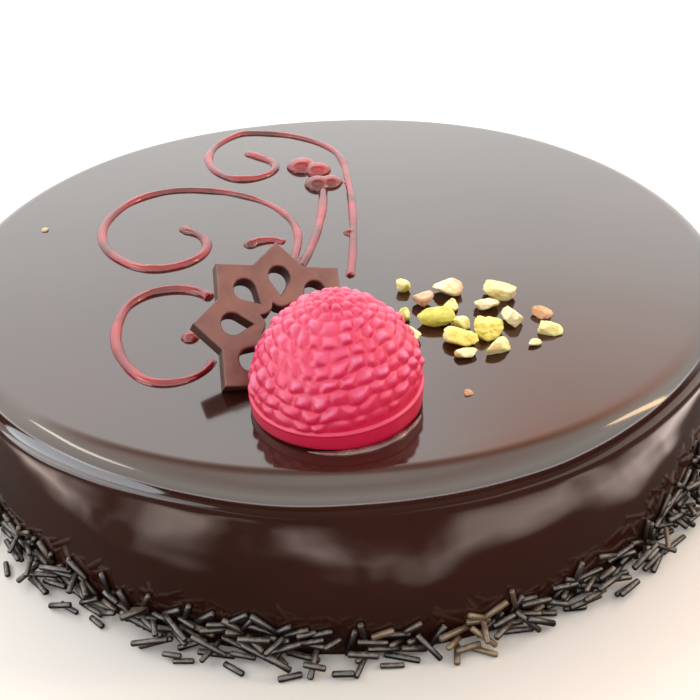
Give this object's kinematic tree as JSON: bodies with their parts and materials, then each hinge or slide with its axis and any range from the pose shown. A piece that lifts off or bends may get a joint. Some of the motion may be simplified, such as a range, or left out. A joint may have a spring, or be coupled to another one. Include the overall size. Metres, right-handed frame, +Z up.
{
  "type": "chocolate-glazed cake",
  "caption": "Round chocolate-glazed cake with jelly scrollwork, a moulded raspberry, a filigree chocolate flower, pistachio bits and a sprinkle foot.",
  "frame": {"origin": "middle of the cake's flat underside", "axes": "+Z up, -Y to the front where the raspberry sits, +X to the right seen from the front"},
  "size_m": [0.2367, 0.238, 0.0721],
  "materials": {
    "chocolate_glaze": "mirror-smooth dark chocolate glaze",
    "berry_pink": "satin raspberry-pink moulded confectionery",
    "flower_chocolate": "satin milk chocolate with a light bloom"
  },
  "bodies": {
    "root": {"cake": "chocolate_glaze", "raspberry": "berry_pink", "chocolate_flower": "flower_chocolate"}
  },
  "joints": []
}
